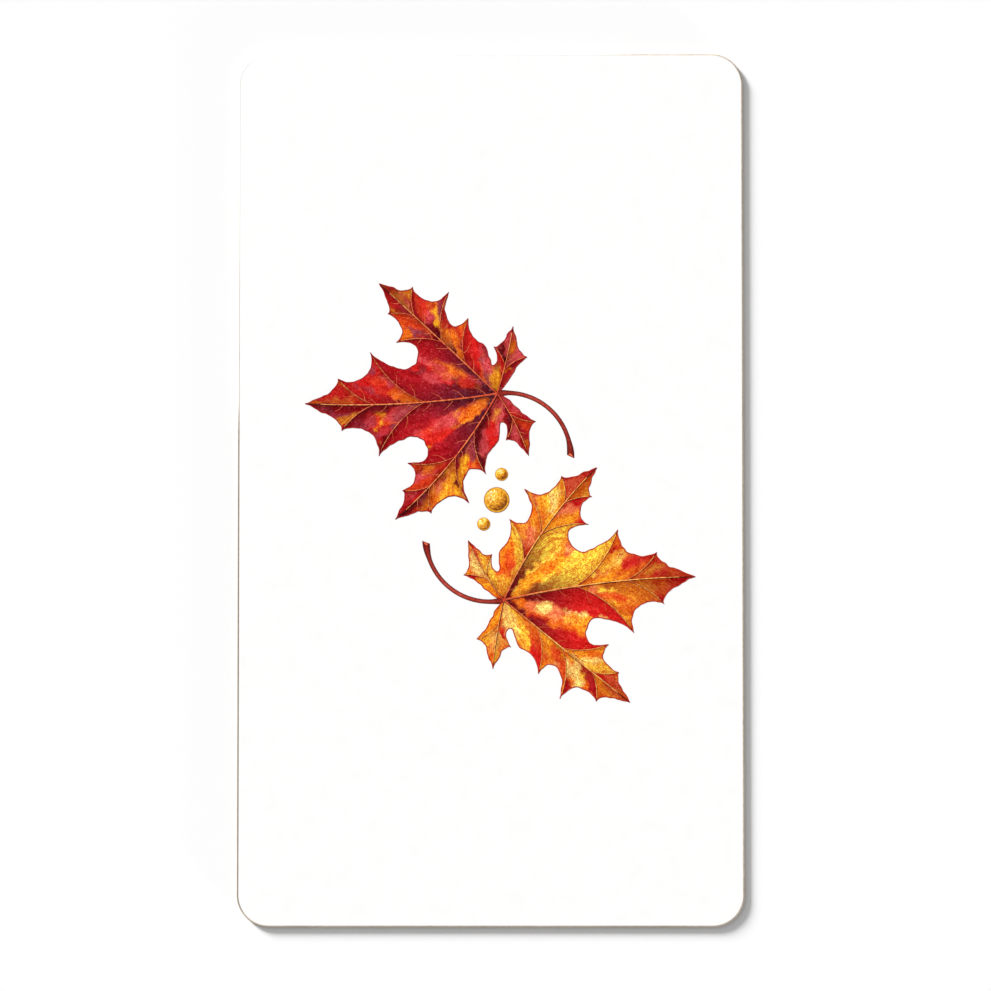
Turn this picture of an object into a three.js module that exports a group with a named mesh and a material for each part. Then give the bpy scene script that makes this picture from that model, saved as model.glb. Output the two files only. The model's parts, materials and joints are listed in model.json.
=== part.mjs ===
// A tarot-size printed card: one sheet of stiff board with four rounded corners. It lies flat, with
// its printed face up.
//
// Millimetres. +X runs across the card, +Y along it towards the top of the picture, and +Z up through
// the printed face. The origin is the middle of the face that it rests on.

import * as THREE from 'three';

// Driving dimensions, in millimetres.
const CARD_WIDTH = 69.85; // 2 3/4 inches, along X
const CARD_LENGTH = 120.65; // 4 3/4 inches, along Y
const CARD_THICKNESS = 0.4; // board of about 400 g a square metre
const CORNER_RADIUS = 4.4;
const EDGE_ROLL = 0.15; // how far the cutting die rolls each face over at its rim

// How finely the round parts are faceted.
const CORNER_SEGMENTS = 10; // a quarter circle gets twice as many sides
const ROLL_SEGMENTS = 3; // for each rolled rim

// Coated white board, a little warm.
const BOARD_COLOUR = 0xfbfaf7;
const BOARD_ROUGHNESS = 0.5;
const BOARD_METALNESS = 0;

/**
 * The card's outline: a rectangle round the origin whose corners are quarter circles.
 */
function cardOutline(width, length, radius) {
  const right = width / 2;
  const top = length / 2;
  const quarter = Math.PI / 2;
  const outline = new THREE.Shape();
  outline.absarc(right - radius, top - radius, radius, 0, quarter);
  outline.absarc(radius - right, top - radius, radius, quarter, 2 * quarter);
  outline.absarc(radius - right, radius - top, radius, 2 * quarter, 3 * quarter);
  outline.absarc(right - radius, radius - top, radius, 3 * quarter, 4 * quarter);
  outline.closePath();
  return outline;
}

/**
 * The sheet of board. Both rims are rolled over inwards, so that the outline keeps its full size at
 * the middle of the thickness, and the two faces stay flat.
 */
function cardGeometry() {
  const geometry = new THREE.ExtrudeGeometry(cardOutline(CARD_WIDTH, CARD_LENGTH, CORNER_RADIUS), {
    depth: CARD_THICKNESS - 2 * EDGE_ROLL,
    curveSegments: CORNER_SEGMENTS,
    bevelEnabled: true,
    bevelThickness: EDGE_ROLL,
    bevelSize: EDGE_ROLL,
    bevelOffset: -EDGE_ROLL,
    bevelSegments: ROLL_SEGMENTS,
  });
  geometry.translate(0, 0, EDGE_ROLL); // the lower face lies at Z = 0
  return geometry;
}

function makeCard() {
  const board = new THREE.MeshStandardMaterial({
    color: BOARD_COLOUR,
    roughness: BOARD_ROUGHNESS,
    metalness: BOARD_METALNESS,
  });
  const card = new THREE.Mesh(cardGeometry(), board);
  card.name = 'card';
  return card;
}

const printedCard = new THREE.Group();
printedCard.name = 'printed_card';
printedCard.add(makeCard());

export default printedCard;
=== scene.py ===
"""A tarot-size printed card, lying flat with its printed face up.

The card is one sheet of coated white board with four rounded corners and a raw, tan cut edge. Its
print is two autumn maple leaves, which turn round each other, and three gold beads between them.
Every printed part is a thin closed film of ink that lies on the board.

The drawing is laid out in millimetres from the middle of the printed face, +X to the right and +Y
towards the top of the picture. Meshes are made at that size and go to metres when they are finished.
"""

import json
import logging
import math
import random
from dataclasses import dataclass, field
from enum import Enum
from typing import Callable

import bmesh
import bpy
import numpy as np
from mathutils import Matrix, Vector, noise
from mathutils.geometry import delaunay_2d_cdt

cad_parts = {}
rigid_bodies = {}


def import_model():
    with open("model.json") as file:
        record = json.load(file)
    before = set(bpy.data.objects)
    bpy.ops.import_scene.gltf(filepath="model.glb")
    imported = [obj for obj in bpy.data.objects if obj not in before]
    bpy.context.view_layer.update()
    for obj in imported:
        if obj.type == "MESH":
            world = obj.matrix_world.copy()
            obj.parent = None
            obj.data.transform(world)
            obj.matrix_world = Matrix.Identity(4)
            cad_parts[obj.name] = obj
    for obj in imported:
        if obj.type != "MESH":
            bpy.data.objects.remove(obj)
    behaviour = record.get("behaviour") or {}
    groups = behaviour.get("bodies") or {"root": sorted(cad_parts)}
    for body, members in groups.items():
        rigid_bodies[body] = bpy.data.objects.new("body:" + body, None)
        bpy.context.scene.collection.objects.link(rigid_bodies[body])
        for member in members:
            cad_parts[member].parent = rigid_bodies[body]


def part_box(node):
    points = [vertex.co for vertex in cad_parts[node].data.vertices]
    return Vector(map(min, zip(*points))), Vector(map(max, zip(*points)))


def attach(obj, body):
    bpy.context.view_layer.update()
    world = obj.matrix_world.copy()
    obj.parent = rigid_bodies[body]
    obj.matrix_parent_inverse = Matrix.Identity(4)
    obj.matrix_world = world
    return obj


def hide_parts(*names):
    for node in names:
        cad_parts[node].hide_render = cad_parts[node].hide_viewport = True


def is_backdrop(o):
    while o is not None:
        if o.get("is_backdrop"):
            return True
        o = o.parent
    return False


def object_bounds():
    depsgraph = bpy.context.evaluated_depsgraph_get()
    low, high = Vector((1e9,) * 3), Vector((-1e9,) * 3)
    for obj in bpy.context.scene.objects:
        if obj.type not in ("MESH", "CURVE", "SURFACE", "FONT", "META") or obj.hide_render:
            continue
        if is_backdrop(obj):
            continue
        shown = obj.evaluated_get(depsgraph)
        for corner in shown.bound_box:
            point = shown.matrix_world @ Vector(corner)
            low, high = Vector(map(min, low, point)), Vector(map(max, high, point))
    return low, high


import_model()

log = logging.getLogger("printed_card")

Point = tuple[float, float]
Colour = tuple[float, float, float]
Line = np.ndarray  # points in a row, one x and y each, in millimetres

MM = 0.001
CARD_NODE = "card"
BODY = "root"

MATT = 0.9  # the roughness of the inks and of the floor
NO_SHEEN = 0.0
BED = -0.004  # millimetres from the face to the underside of the ink that has soaked in


class Pigment(Enum):
    """The inks that the picture is painted with, as display red, green and blue."""

    SOOT = (0.22, 0.05, 0.07)
    MAROON = (0.46, 0.08, 0.11)
    CRIMSON = (0.70, 0.09, 0.12)
    SCARLET = (0.85, 0.13, 0.12)
    VERMILION = (0.93, 0.27, 0.11)
    TANGERINE = (0.98, 0.47, 0.11)
    AMBER = (1.00, 0.63, 0.14)
    GOLD = (1.00, 0.77, 0.24)
    STRAW = (1.00, 0.86, 0.47)
    SALMON = (0.95, 0.47, 0.30)
    ROSE = (0.85, 0.28, 0.30)
    PLUM = (0.62, 0.24, 0.30)
    DUSK = (0.38, 0.12, 0.18)
    UMBER = (0.66, 0.28, 0.11)
    BARK = (0.52, 0.14, 0.11)

    def linear(self) -> Colour:
        """The colour as a shader wants it, with the display curve taken off."""
        return tuple(to_linear(channel) for channel in self.value)


def to_linear(channel: float) -> float:
    """One display channel with the display curve taken off.

    Args:
        channel: the display value, from 0 to 1.

    Returns:
        The linear value, from 0 to 1.
    """
    if channel <= 0.04045:
        return channel / 12.92
    return ((channel + 0.055) / 1.055) ** 2.4


# ---------------------------------------------------------------------------------------------
# Lines and distances in the plane of the picture


def unit(vector: np.ndarray) -> np.ndarray:
    """The vector at length 1, or the vector itself where it has no length."""
    length = float(np.hypot(*vector))
    return vector / length if length > 1e-9 else vector


def turned(vector: np.ndarray, degrees: float) -> np.ndarray:
    """The vector turned anticlockwise."""
    angle = math.radians(degrees)
    x, y = vector
    return np.array([x * math.cos(angle) - y * math.sin(angle), x * math.sin(angle) + y * math.cos(angle)])


def smooth_line(points: list[Point], step: float, start: np.ndarray | None = None,
                end: np.ndarray | None = None) -> Line:
    """A smooth line through some points.

    Args:
        points: the points that it passes through.
        step: the longest distance between two points of the result.
        start: the direction at the first point, if it is given.
        end: the direction at the last point, if it is given.

    Returns:
        The line, from the first point to the last.
    """
    knots = np.array(points, float)
    chords = np.hypot(*np.diff(knots, axis=0).T)
    directions = np.zeros_like(knots)
    for i in range(1, len(knots) - 1):
        before = (knots[i] - knots[i - 1]) / chords[i - 1]
        after = (knots[i + 1] - knots[i]) / chords[i]
        directions[i] = unit(before * chords[i] + after * chords[i - 1])
    first, last = unit(knots[1] - knots[0]), unit(knots[-1] - knots[-2])
    directions[0] = start if start is not None else unit(2 * first - directions[1])
    directions[-1] = end if end is not None else unit(2 * last - directions[-2])
    pieces = [knots[:1]]
    for i, chord in enumerate(chords):
        t = np.linspace(0, 1, max(2, math.ceil(chord / step)) + 1)[1:, None]
        pieces.append((2 * t**3 - 3 * t**2 + 1) * knots[i] + (t**3 - 2 * t**2 + t) * chord * directions[i]
                      + (3 * t**2 - 2 * t**3) * knots[i + 1] + (t**3 - t**2) * chord * directions[i + 1])
    return np.concatenate(pieces)


def run_lengths(line: Line) -> np.ndarray:
    """How far along the line each of its points lies, from 0 to 1."""
    steps = np.hypot(*np.diff(line, axis=0).T)
    total = np.concatenate([[0.0], np.cumsum(steps)])
    return total / total[-1]


def sideways(line: Line) -> np.ndarray:
    """The unit vector to the left of the line at each of its points."""
    ahead = np.gradient(line, axis=0)
    ahead /= np.maximum(np.hypot(*ahead.T), 1e-9)[:, None]
    return np.stack([-ahead[:, 1], ahead[:, 0]], axis=1)


def unsteady(line: Line, size: float, pitch: float) -> Line:
    """The line as an unsteady hand draws it, with its two ends left in place.

    Args:
        line: the line.
        size: about how far it strays to a side.
        pitch: about how far apart it strays.

    Returns:
        The line that was drawn.
    """
    strays = np.array([noise.noise(Vector((x / pitch, y / pitch, 0.5))) for x, y in line])
    hold = np.sin(math.pi * run_lengths(line)) ** 0.5
    return line + sideways(line) * (2 * size * strays * hold)[:, None]


def nearest_on(points: np.ndarray, line: Line) -> tuple[np.ndarray, np.ndarray]:
    """How near each point is to a line.

    Args:
        points: the points to measure.
        line: the line to measure them to.

    Returns:
        The distances, and the unit vectors from the line to the points.
    """
    start, along = line[:-1], np.diff(line, axis=0)
    squares = np.maximum((along**2).sum(axis=1), 1e-12)
    offsets = points[:, None, :] - start[None, :, :]
    share = np.clip((offsets * along).sum(axis=2) / squares, 0, 1)
    gaps = offsets - share[:, :, None] * along
    squared = (gaps**2).sum(axis=2)
    best = squared.argmin(axis=1)
    rows = np.arange(len(points))
    distance = np.sqrt(squared[rows, best])
    return distance, gaps[rows, best] / np.maximum(distance, 1e-6)[:, None]


def inside(points: np.ndarray, outline: Line) -> np.ndarray:
    """Which points lie inside a closed outline, by counting the edges to their right."""
    following = np.roll(outline, -1, axis=0)
    x, y = points[:, 0][:, None], points[:, 1][:, None]
    crosses = (outline[:, 1] > y) != (following[:, 1] > y)
    rise = following[:, 1] - outline[:, 1]
    rise = np.where(np.abs(rise) < 1e-12, 1e-12, rise)
    meets = outline[:, 0] + (y - outline[:, 1]) / rise * (following[:, 0] - outline[:, 0])
    return (crosses & (x < meets)).sum(axis=1) % 2 == 1


def smoothstep(low: float, high: float, value: np.ndarray) -> np.ndarray:
    """0 below low, 1 above high, and an even slope between them."""
    t = np.clip((value - low) / (high - low), 0, 1)
    return t * t * (3 - 2 * t)


def new_object(name: str, bm: bmesh.types.BMesh,
               materials: list[bpy.types.Material]) -> bpy.types.Object:
    """Turns a mesh in the making into an object of the scene.

    Args:
        name: the object's name.
        bm: its mesh in metres, which is freed.
        materials: the materials of its slots.

    Returns:
        The object.
    """
    mesh = bpy.data.meshes.new(name)
    bm.to_mesh(mesh)
    bm.free()
    for material in materials:
        mesh.materials.append(material)
    made = bpy.data.objects.new(name, mesh)
    bpy.context.scene.collection.objects.link(made)
    return made


# ---------------------------------------------------------------------------------------------
# Shader nodes


class NodeTree:
    """A node tree with short ways to add nodes and to join them."""

    def __init__(self, tree: bpy.types.NodeTree) -> None:
        """Takes the tree that the nodes go in."""
        self.tree = tree

    def add(self, kind: str, inputs: dict | None = None, **settings: object) -> bpy.types.Node:
        """Adds one node.

        Args:
            kind: the node's type.
            inputs: a value, or a socket to join, for each input by name or number.
            **settings: the node's own settings.

        Returns:
            The new node.
        """
        node = self.tree.nodes.new(kind)
        for name, value in settings.items():
            setattr(node, name, value)
        for key, value in (inputs or {}).items():
            if isinstance(value, bpy.types.NodeSocket):
                self.tree.links.new(value, node.inputs[key])
            else:
                node.inputs[key].default_value = value
        return node

    def math(self, operation: str, *values: object) -> bpy.types.NodeSocket:
        """The result of one sum on numbers or sockets."""
        return self.add("ShaderNodeMath", dict(enumerate(values)), operation=operation).outputs[0]

    def remap(self, value: bpy.types.NodeSocket, low: float, high: float, to_low: float,
              to_high: float) -> bpy.types.NodeSocket:
        """A value moved from one range to another, and held inside it."""
        inputs = {0: value, 1: low, 2: high, 3: to_low, 4: to_high}
        return self.add("ShaderNodeMapRange", inputs).outputs[0]

    def noise(self, vector: bpy.types.NodeSocket, scale: object, detail: float = 2.0,
              roughness: float = 0.5) -> bpy.types.NodeSocket:
        """A noise texture's value, around a half."""
        inputs = {"Vector": vector, "Scale": scale, "Detail": detail, "Roughness": roughness}
        return self.add("ShaderNodeTexNoise", inputs).outputs["Fac"]

    def mix(self, blend: str, factor: object, first: object, second: object) -> bpy.types.NodeSocket:
        """Two colours put together.

        Args:
            blend: the blending mode.
            factor: how much of the second colour is used.
            first: the colour, or its socket, underneath.
            second: the colour, or its socket, on top.

        Returns:
            The socket of the result.
        """
        node = self.add("ShaderNodeMix", data_type="RGBA", blend_type=blend)
        for index, value in ((0, factor), (6, first), (7, second)):
            if isinstance(value, bpy.types.NodeSocket):
                self.tree.links.new(value, node.inputs[index])
            else:
                node.inputs[index].default_value = value if index == 0 else (*value, 1.0)
        return node.outputs[2]

    def tint(self, colour: bpy.types.NodeSocket, gains: list[bpy.types.NodeSocket]) -> bpy.types.NodeSocket:
        """A colour whose red, green and blue are each multiplied by a gain of their own."""
        factors = self.add("ShaderNodeCombineColor", dict(enumerate(gains))).outputs[0]
        return self.mix("MULTIPLY", 1.0, colour, factors)

    def attribute(self, name: str, output: str = "Fac") -> bpy.types.NodeSocket:
        """A value that the mesh carries."""
        return self.add("ShaderNodeAttribute", attribute_name=name).outputs[output]

    def place(self) -> bpy.types.NodeSocket:
        """The position on the piece, in metres."""
        return self.add("ShaderNodeTexCoord").outputs["Object"]

    def ramp(self, value: bpy.types.NodeSocket, stops: dict[float, Colour]) -> bpy.types.NodeSocket:
        """The colour of a value on a ramp of two colours or more."""
        node = self.add("ShaderNodeValToRGB", {0: value})
        elements = node.color_ramp.elements
        while len(elements) < len(stops):
            elements.new(0.5)
        for element, (position, colour) in zip(elements, sorted(stops.items())):
            element.position = position
            element.color = (*colour, 1.0)
        return node.outputs[0]


def new_group(name: str, inputs: dict[str, tuple[str, object]],
              outputs: dict[str, str]) -> tuple[NodeTree, bpy.types.Node, bpy.types.Node]:
    """Starts a node group.

    Args:
        name: the group's name.
        inputs: each input's type and its value when nothing is joined to it.
        outputs: each output's type.

    Returns:
        The group's tree, its input node and its output node.
    """
    tree = bpy.data.node_groups.new(name, "ShaderNodeTree")
    for label, (kind, value) in inputs.items():
        socket = tree.interface.new_socket(label, in_out="INPUT", socket_type=kind)
        if value is not None:
            socket.default_value = value
    for label, kind in outputs.items():
        tree.interface.new_socket(label, in_out="OUTPUT", socket_type=kind)
    nodes = NodeTree(tree)
    return nodes, nodes.add("NodeGroupInput"), nodes.add("NodeGroupOutput")


def build_print_grain() -> bpy.types.NodeTree:
    """The mottle, the fine grain and the pale flecks that ink leaves on toothed paper.

    Returns:
        The group. It takes a colour, and gives it back with all three laid over it.
    """
    number = "NodeSocketFloat"
    nodes, given, result = new_group(
        "print_grain",
        {"Color": ("NodeSocketColor", None), "Mottle": (number, 0.2), "Speckle": (number, 0.2),
         "Flecks": (number, 0.2)},
        {"Color": "NodeSocketColor"})
    place = nodes.place()
    wet = nodes.noise(place, 1300.0, 3.0, 0.6)
    fine = nodes.noise(place, 6200.0, 2.0, 0.8)
    cells = nodes.add("ShaderNodeTexVoronoi", {"Vector": place, "Scale": 6600.0}).outputs["Color"]
    chances = nodes.add("ShaderNodeSeparateColor", {0: cells}).outputs
    mottle = nodes.remap(wet, 0.32, 0.68, -1.0, 1.0)
    grain = nodes.math("ADD", nodes.remap(fine, 0.30, 0.70, -0.7, 0.7),
                       nodes.math("MULTIPLY_ADD", chances[1], 0.9, -0.45))
    lift = nodes.math("ADD", nodes.math("MULTIPLY", mottle, given.outputs["Mottle"]),
                      nodes.math("MULTIPLY", grain, given.outputs["Speckle"]))
    gains = [nodes.math("MAXIMUM", nodes.math("MULTIPLY_ADD", lift, share, 1.0), 0.3)
             for share in (0.42, 1.2, 1.35)]
    bare = nodes.math("MULTIPLY", nodes.remap(chances[0], 0.93, 0.99, 0.0, 1.0), given.outputs["Flecks"])
    flecked = nodes.mix("SCREEN", bare, nodes.tint(given.outputs["Color"], gains), (0.9, 0.40, 0.26))
    nodes.tree.links.new(flecked, result.inputs["Color"])
    return nodes.tree


def build_paper_tooth() -> bpy.types.NodeTree:
    """The fine relief of coated board, which also shows through the ink.

    Returns:
        The group. It gives a height from 0 to 1.
    """
    nodes, given, result = new_group("paper_tooth", {"Scale": ("NodeSocketFloat", 2600.0)},
                                     {"Height": "NodeSocketFloat"})
    place = nodes.place()
    fibre = nodes.noise(place, given.outputs["Scale"], 3.0, 0.6)
    wave = nodes.noise(place, 140.0, 1.0, 0.5)
    height = nodes.math("ADD", nodes.math("MULTIPLY", fibre, 0.75), nodes.math("MULTIPLY", wave, 0.25))
    nodes.tree.links.new(height, result.inputs["Height"])
    return nodes.tree


class Finish:
    """A surface finish: one material, made from a shader and the shared groups."""

    def __init__(self, name: str, roughness: float, specular: float) -> None:
        """Starts the material.

        Args:
            name: the material's name.
            roughness: the shader's roughness.
            specular: the shader's specular level.
        """
        self.material = bpy.data.materials.new(name)
        self.material.use_nodes = True
        self.nodes = NodeTree(self.material.node_tree)
        self.shader = self.material.node_tree.nodes["Principled BSDF"]
        self.shader.inputs["Roughness"].default_value = roughness
        self.shader.inputs["Specular IOR Level"].default_value = specular

    def join(self, socket: bpy.types.NodeSocket, name: str) -> None:
        """Joins a socket to one of the shader's inputs."""
        self.nodes.tree.links.new(socket, self.shader.inputs[name])

    def grain(self, colour: bpy.types.NodeSocket, mottle: float, speckle: float,
              flecks: float = 0.0) -> bpy.types.NodeSocket:
        """A colour with the print's mottle, speckle and flecks laid over it."""
        inputs = {"Color": colour, "Mottle": mottle, "Speckle": speckle, "Flecks": flecks}
        group = Workshop.shared().print_grain
        return self.nodes.add("ShaderNodeGroup", inputs, node_tree=group).outputs["Color"]

    def tooth(self, depth: float, strength: float, scale: float = 2600.0) -> None:
        """Gives the surface the paper's fine relief.

        Args:
            depth: the height of the relief, in metres.
            strength: how much of it shows.
            scale: how many of its grains there are in a metre.
        """
        group = Workshop.shared().paper_tooth
        height = self.nodes.add("ShaderNodeGroup", {"Scale": scale}, node_tree=group).outputs["Height"]
        bump = self.nodes.add("ShaderNodeBump", {"Height": height, "Distance": depth, "Strength": strength})
        self.join(bump.outputs["Normal"], "Normal")


class Workshop:
    """The node groups that several finishes share, each built once."""

    _shared: "Workshop | None" = None

    def __init__(self) -> None:
        """Builds the groups."""
        self.print_grain = build_print_grain()
        self.paper_tooth = build_paper_tooth()

    @classmethod
    def shared(cls) -> "Workshop":
        """The one workshop, built when it is first asked for."""
        if cls._shared is None:
            cls._shared = cls()
        return cls._shared


@dataclass(frozen=True)
class CoatedBoard:
    """The smooth white coating on both faces of the board."""

    white: Colour = (0.93, 0.93, 0.925)
    shade: Colour = (0.90, 0.90, 0.893)

    def material(self) -> bpy.types.Material:
        """Builds the material: white, with a faint cloudiness and a fine relief."""
        finish = Finish("coated_board", 0.5, 0.35)
        cloud = finish.nodes.noise(finish.nodes.place(), 420.0, 4.0, 0.6)
        finish.join(finish.nodes.ramp(cloud, {0.3: self.shade, 0.7: self.white}), "Base Color")
        rough = finish.nodes.remap(cloud, 0.3, 0.7, 0.46, 0.56)
        finish.join(rough, "Roughness")
        finish.tooth(0.000004, 0.4)
        return finish.material


@dataclass(frozen=True)
class CutEdge:
    """The raw core of the board, which shows where the die cut it and rolled the rim over."""

    pale: Colour = (0.66, 0.57, 0.47)
    dark: Colour = (0.42, 0.34, 0.26)
    coat: Colour = (0.86, 0.84, 0.81)
    # darkens the cut edge: painted shade on the left side, and also the coated corner's tip and the cut side
    # below the rolled rim
    grime_and_shade: Colour = (0.36, 0.34, 0.32)
    wall: Point = (0.28 * MM, 0.22 * MM)  # heights between which the rolled rim turns into the cut side
    wall_grime: float = 0.6
    coated: Point = (-62 * MM, -36 * MM)  # X less Y, from the coated corner to the bare rim
    shaded_left_side: Point = (-33.5 * MM, -34.8 * MM)  # X, from none to full, of the painted shade that darkens the left side, the side that faces the key light
    darker_tip: Point = (-87 * MM, -90.5 * MM)  # X less Y, from plain to darker, towards the tip of the coated corner
    faint: float = 0.42  # the most darkening that shows on a coated rim, from the left side's painted shade or at the coated corner's tip

    def material(self) -> bpy.types.Material:
        """Builds the material: tan fibres, with one rim still coated, painted shade darkening the left side,
        a darker tip at the coated corner, and the cut side below the rolled rim darker.
        """
        finish = Finish("cut_edge", 0.85, 0.1)
        nodes = finish.nodes
        place = nodes.place()
        x, y, z = nodes.add("ShaderNodeSeparateXYZ", {0: place}).outputs
        wall = nodes.remap(z, *self.wall, 0.0, 1.0)
        layers = nodes.add("ShaderNodeMapping", {"Vector": place, "Scale": (1.0, 1.0, 12.0)}).outputs[0]
        fibre = nodes.noise(layers, 1500.0, 4.0, 0.65)
        handling = nodes.noise(place, 60.0, 3.0, 0.55)
        worn = nodes.math("ADD", nodes.math("MULTIPLY", fibre, 0.6), nodes.math("MULTIPLY", handling, 0.4))
        core = nodes.ramp(worn, {0.35: self.dark, 0.62: self.pale})
        corner = nodes.math("ADD", nodes.math("SUBTRACT", x, y),
                            nodes.math("MULTIPLY_ADD", handling, 0.06, -0.03))
        open_core = nodes.math("MAXIMUM", nodes.remap(corner, *self.coated, 0.0, 1.0), wall)
        bare = nodes.mix("MIX", open_core, self.coat, core)
        # painted shade: the left side, which the low key light floods, is darkened towards the
        # grime-and-shade colour, less on a coated rim
        side = nodes.math("MULTIPLY", nodes.remap(x, *self.shaded_left_side, 0.0, 1.0),
                          nodes.math("MAXIMUM", open_core, self.faint))
        darker_tip = nodes.remap(corner, *self.darker_tip, 0.0, self.faint)
        # every darkening together: the painted shade of the left side, the darker tip of the coated corner,
        # and the darker cut side below the rolled rim
        darkening = nodes.math("MAXIMUM", nodes.math("MAXIMUM", side, darker_tip),
                           nodes.math("MULTIPLY", wall, self.wall_grime))
        finish.join(nodes.mix("MULTIPLY", darkening, bare, self.grime_and_shade), "Base Color")
        finish.tooth(0.00002, 0.6, 3200.0)
        return finish.material


@dataclass(frozen=True)
class PaintedBlade:
    """The painted washes of a leaf, which darken along its veins."""

    name: str
    shadow: Colour
    depth: float = 0.95

    def material(self) -> bpy.types.Material:
        """Builds the material from the wash, the depth and the flow that the mesh carries."""
        finish = Finish(self.name, MATT, NO_SHEEN)
        nodes = finish.nodes
        wash = nodes.attribute("wash", "Color")
        flow = nodes.attribute("flow", "Vector")
        broad = nodes.remap(nodes.noise(flow, 1.6, 4.0, 0.65), 0.32, 0.68, 0.60, 1.45)
        hairs = nodes.remap(nodes.noise(flow, 7.0, 2.0, 0.6), 0.34, 0.66, 0.62, 1.4)
        strokes = nodes.math("MULTIPLY", broad, hairs)
        gains = [nodes.math("POWER", strokes, power) for power in (0.45, 1.3, 1.2)]
        brushed = nodes.tint(wash, gains)
        ragged = nodes.math("ADD", nodes.attribute("depth"),
                            nodes.math("MULTIPLY_ADD", nodes.noise(nodes.place(), 1100.0, 3.0), 0.3, -0.15))
        dark = nodes.remap(ragged, 0.0, 0.9, 0.0, self.depth)
        shaded = nodes.mix("MULTIPLY", dark, brushed, self.shadow)
        finish.join(finish.grain(shaded, 0.26, 0.7, 0.12), "Base Color")
        finish.tooth(0.000004, 0.35)
        return finish.material


@dataclass(frozen=True)
class DrawnLine:
    """Ink drawn in strokes, whose colour changes along the stroke and towards its two sides."""

    name: str
    root: Colour
    middle: Colour
    tip: Colour
    side: Colour
    core: float = 0.45

    @classmethod
    def plain(cls, name: str, colour: Colour) -> "DrawnLine":
        """A stroke of one colour from end to end and from side to side."""
        return cls(name, colour, colour, colour, colour)

    def material(self) -> bpy.types.Material:
        """Builds the material from how far along and how far across the stroke a point is."""
        finish = Finish(self.name, MATT, NO_SHEEN)
        nodes = finish.nodes
        body = nodes.ramp(nodes.attribute("along"), {0.0: self.root, 0.5: self.middle, 1.0: self.tip})
        edge = nodes.remap(nodes.math("ABSOLUTE", nodes.attribute("across")), self.core, 1.0, 0.0, 1.0)
        drawn = nodes.mix("MIX", edge, body, self.side)
        finish.join(finish.grain(drawn, 0.25, 0.5), "Base Color")
        finish.tooth(0.000003, 0.3)
        return finish.material


@dataclass(frozen=True)
class GoldBall:
    """Gold paint on a disc, shaded as a ball that is lit from the upper left."""

    light: Colour = (-0.42, 0.50, 0.76)

    def material(self) -> bpy.types.Material:
        """Builds the material from where on the ball a point of the disc stands."""
        finish = Finish("gold_ball", MATT, NO_SHEEN)
        nodes = finish.nodes
        spot = nodes.attribute("ball", "Vector")
        parts = nodes.add("ShaderNodeSeparateXYZ", {0: spot}).outputs
        square = nodes.math("ADD", nodes.math("POWER", parts[0], 2.0), nodes.math("POWER", parts[1], 2.0))
        height = nodes.math("SQRT", nodes.math("MAXIMUM", nodes.math("SUBTRACT", 1.0, square), 0.0))
        sums = [nodes.math("MULTIPLY", part, weight)
                for part, weight in zip((parts[0], parts[1], height), self.light)]
        facing = nodes.math("ADD", nodes.math("ADD", sums[0], sums[1]), sums[2])
        leafing = nodes.noise(nodes.place(), 3600.0, 3.0, 0.8)
        broken = nodes.math("ADD", facing, nodes.math("MULTIPLY_ADD", leafing, 2.1, -1.16))
        gold = nodes.ramp(broken, {
            0.0: (0.20, 0.055, 0.008), 0.25: (0.42, 0.13, 0.012), 0.48: (0.70, 0.27, 0.018),
            0.68: (0.90, 0.42, 0.03), 0.86: (1.0, 0.62, 0.08), 1.0: (1.0, 0.90, 0.45)})
        glow = nodes.mix("MIX", nodes.remap(square, 0.64, 0.80, 0.0, 0.8), gold, (1.0, 0.50, 0.04))
        rim = nodes.mix("MIX", nodes.remap(square, 0.82, 0.93, 0.0, 0.9), glow, (0.30, 0.08, 0.015))
        finish.join(finish.grain(rim, 0.15, 0.5, 0.35), "Base Color")
        finish.tooth(0.000004, 0.4)
        return finish.material


# ---------------------------------------------------------------------------------------------
# Films of ink


class PrintedFace:
    """The upper face of the card, on which every film of ink lies."""

    def __init__(self) -> None:
        """Finds the face from the card's box in the frame."""
        low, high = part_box(CARD_NODE)
        self.middle = Vector(((low[0] + high[0]) / 2, (low[1] + high[1]) / 2, high[2]))

    def finish_piece(self, name: str, bm: bmesh.types.BMesh,
                     materials: list[bpy.types.Material]) -> bpy.types.Object:
        """Takes a mesh in millimetres from the middle of the face to its place, as a piece.

        Args:
            name: the piece's name.
            bm: the mesh, which is freed.
            materials: the materials of its slots.

        Returns:
            The new object, which rides on the card.
        """
        bmesh.ops.scale(bm, vec=(MM, MM, MM), verts=bm.verts)
        bmesh.ops.translate(bm, vec=self.middle, verts=bm.verts)
        piece = new_object(name, bm, materials)
        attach(piece, BODY)
        return piece


def thicken(bm: bmesh.types.BMesh, faces: list[bmesh.types.BMFace],
            height: Callable[[bmesh.types.BMVert], float]) -> None:
    """Raises flat faces into a closed film, and leaves the faces as its underside.

    Args:
        bm: the mesh that holds them.
        faces: the flat faces.
        height: gives the height that each corner is raised by.
    """
    edges = dict.fromkeys(edge for face in faces for edge in face.edges)
    verts = dict.fromkeys(vert for face in faces for vert in face.verts)
    geometry = [*verts, *edges, *faces]
    raised = bmesh.ops.extrude_face_region(bm, geom=geometry, use_keep_orig=True)["geom"]
    for vert in raised:
        if isinstance(vert, bmesh.types.BMVert):
            vert.co.z += height(vert)
    film = [face for face in raised if isinstance(face, bmesh.types.BMFace)]
    walls = [face for vert in verts for face in vert.link_faces]
    bmesh.ops.recalc_face_normals(bm, faces=list(dict.fromkeys([*film, *walls])))


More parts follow.
